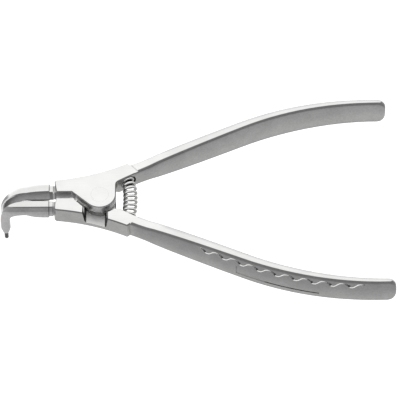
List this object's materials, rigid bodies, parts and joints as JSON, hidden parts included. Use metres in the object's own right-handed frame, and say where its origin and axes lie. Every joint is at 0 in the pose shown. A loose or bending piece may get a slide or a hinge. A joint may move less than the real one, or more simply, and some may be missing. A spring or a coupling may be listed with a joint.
{
  "type": "circlip pliers",
  "caption": "Pliers for external circlips: two lap-jointed levers that don't cross, right-angled tips with round pins, a flush rivet and a coil return spring.",
  "frame": {"origin": "on the rivet's axis, level with the joint's top cheek face", "axes": "+Z along the rivet's axis, out of the face away from the bent tips; +X from the joint to the handles, the tool's longest extent; +Y towards the upper arm"},
  "size_m": [0.1715, 0.1002, 0.0296],
  "materials": {
    "forged_steel": "plated satin forging, bright on the ground cheeks",
    "spring_steel": "bright drawn wire",
    "pin_steel": "dark hardened steel"
  },
  "bodies": {
    "lower_lever": {"lower_arm": "forged_steel", "pivot_rivet": "forged_steel", "lower_tip_pin": "pin_steel", "return_spring": "spring_steel"},
    "upper_lever": {"upper_arm": "forged_steel", "upper_tip_pin": "pin_steel"}
  },
  "joints": [
    {"name": "lever_pivot", "type": "hinge", "parent": "lower_lever", "child": "upper_lever", "pos_m": [0, 0, -0.0044], "axis": [0, 0, -1], "range_deg": [-4, 28], "stiffness_Nm_per_rad": 2, "deforming": ["return_spring"]}
  ]
}
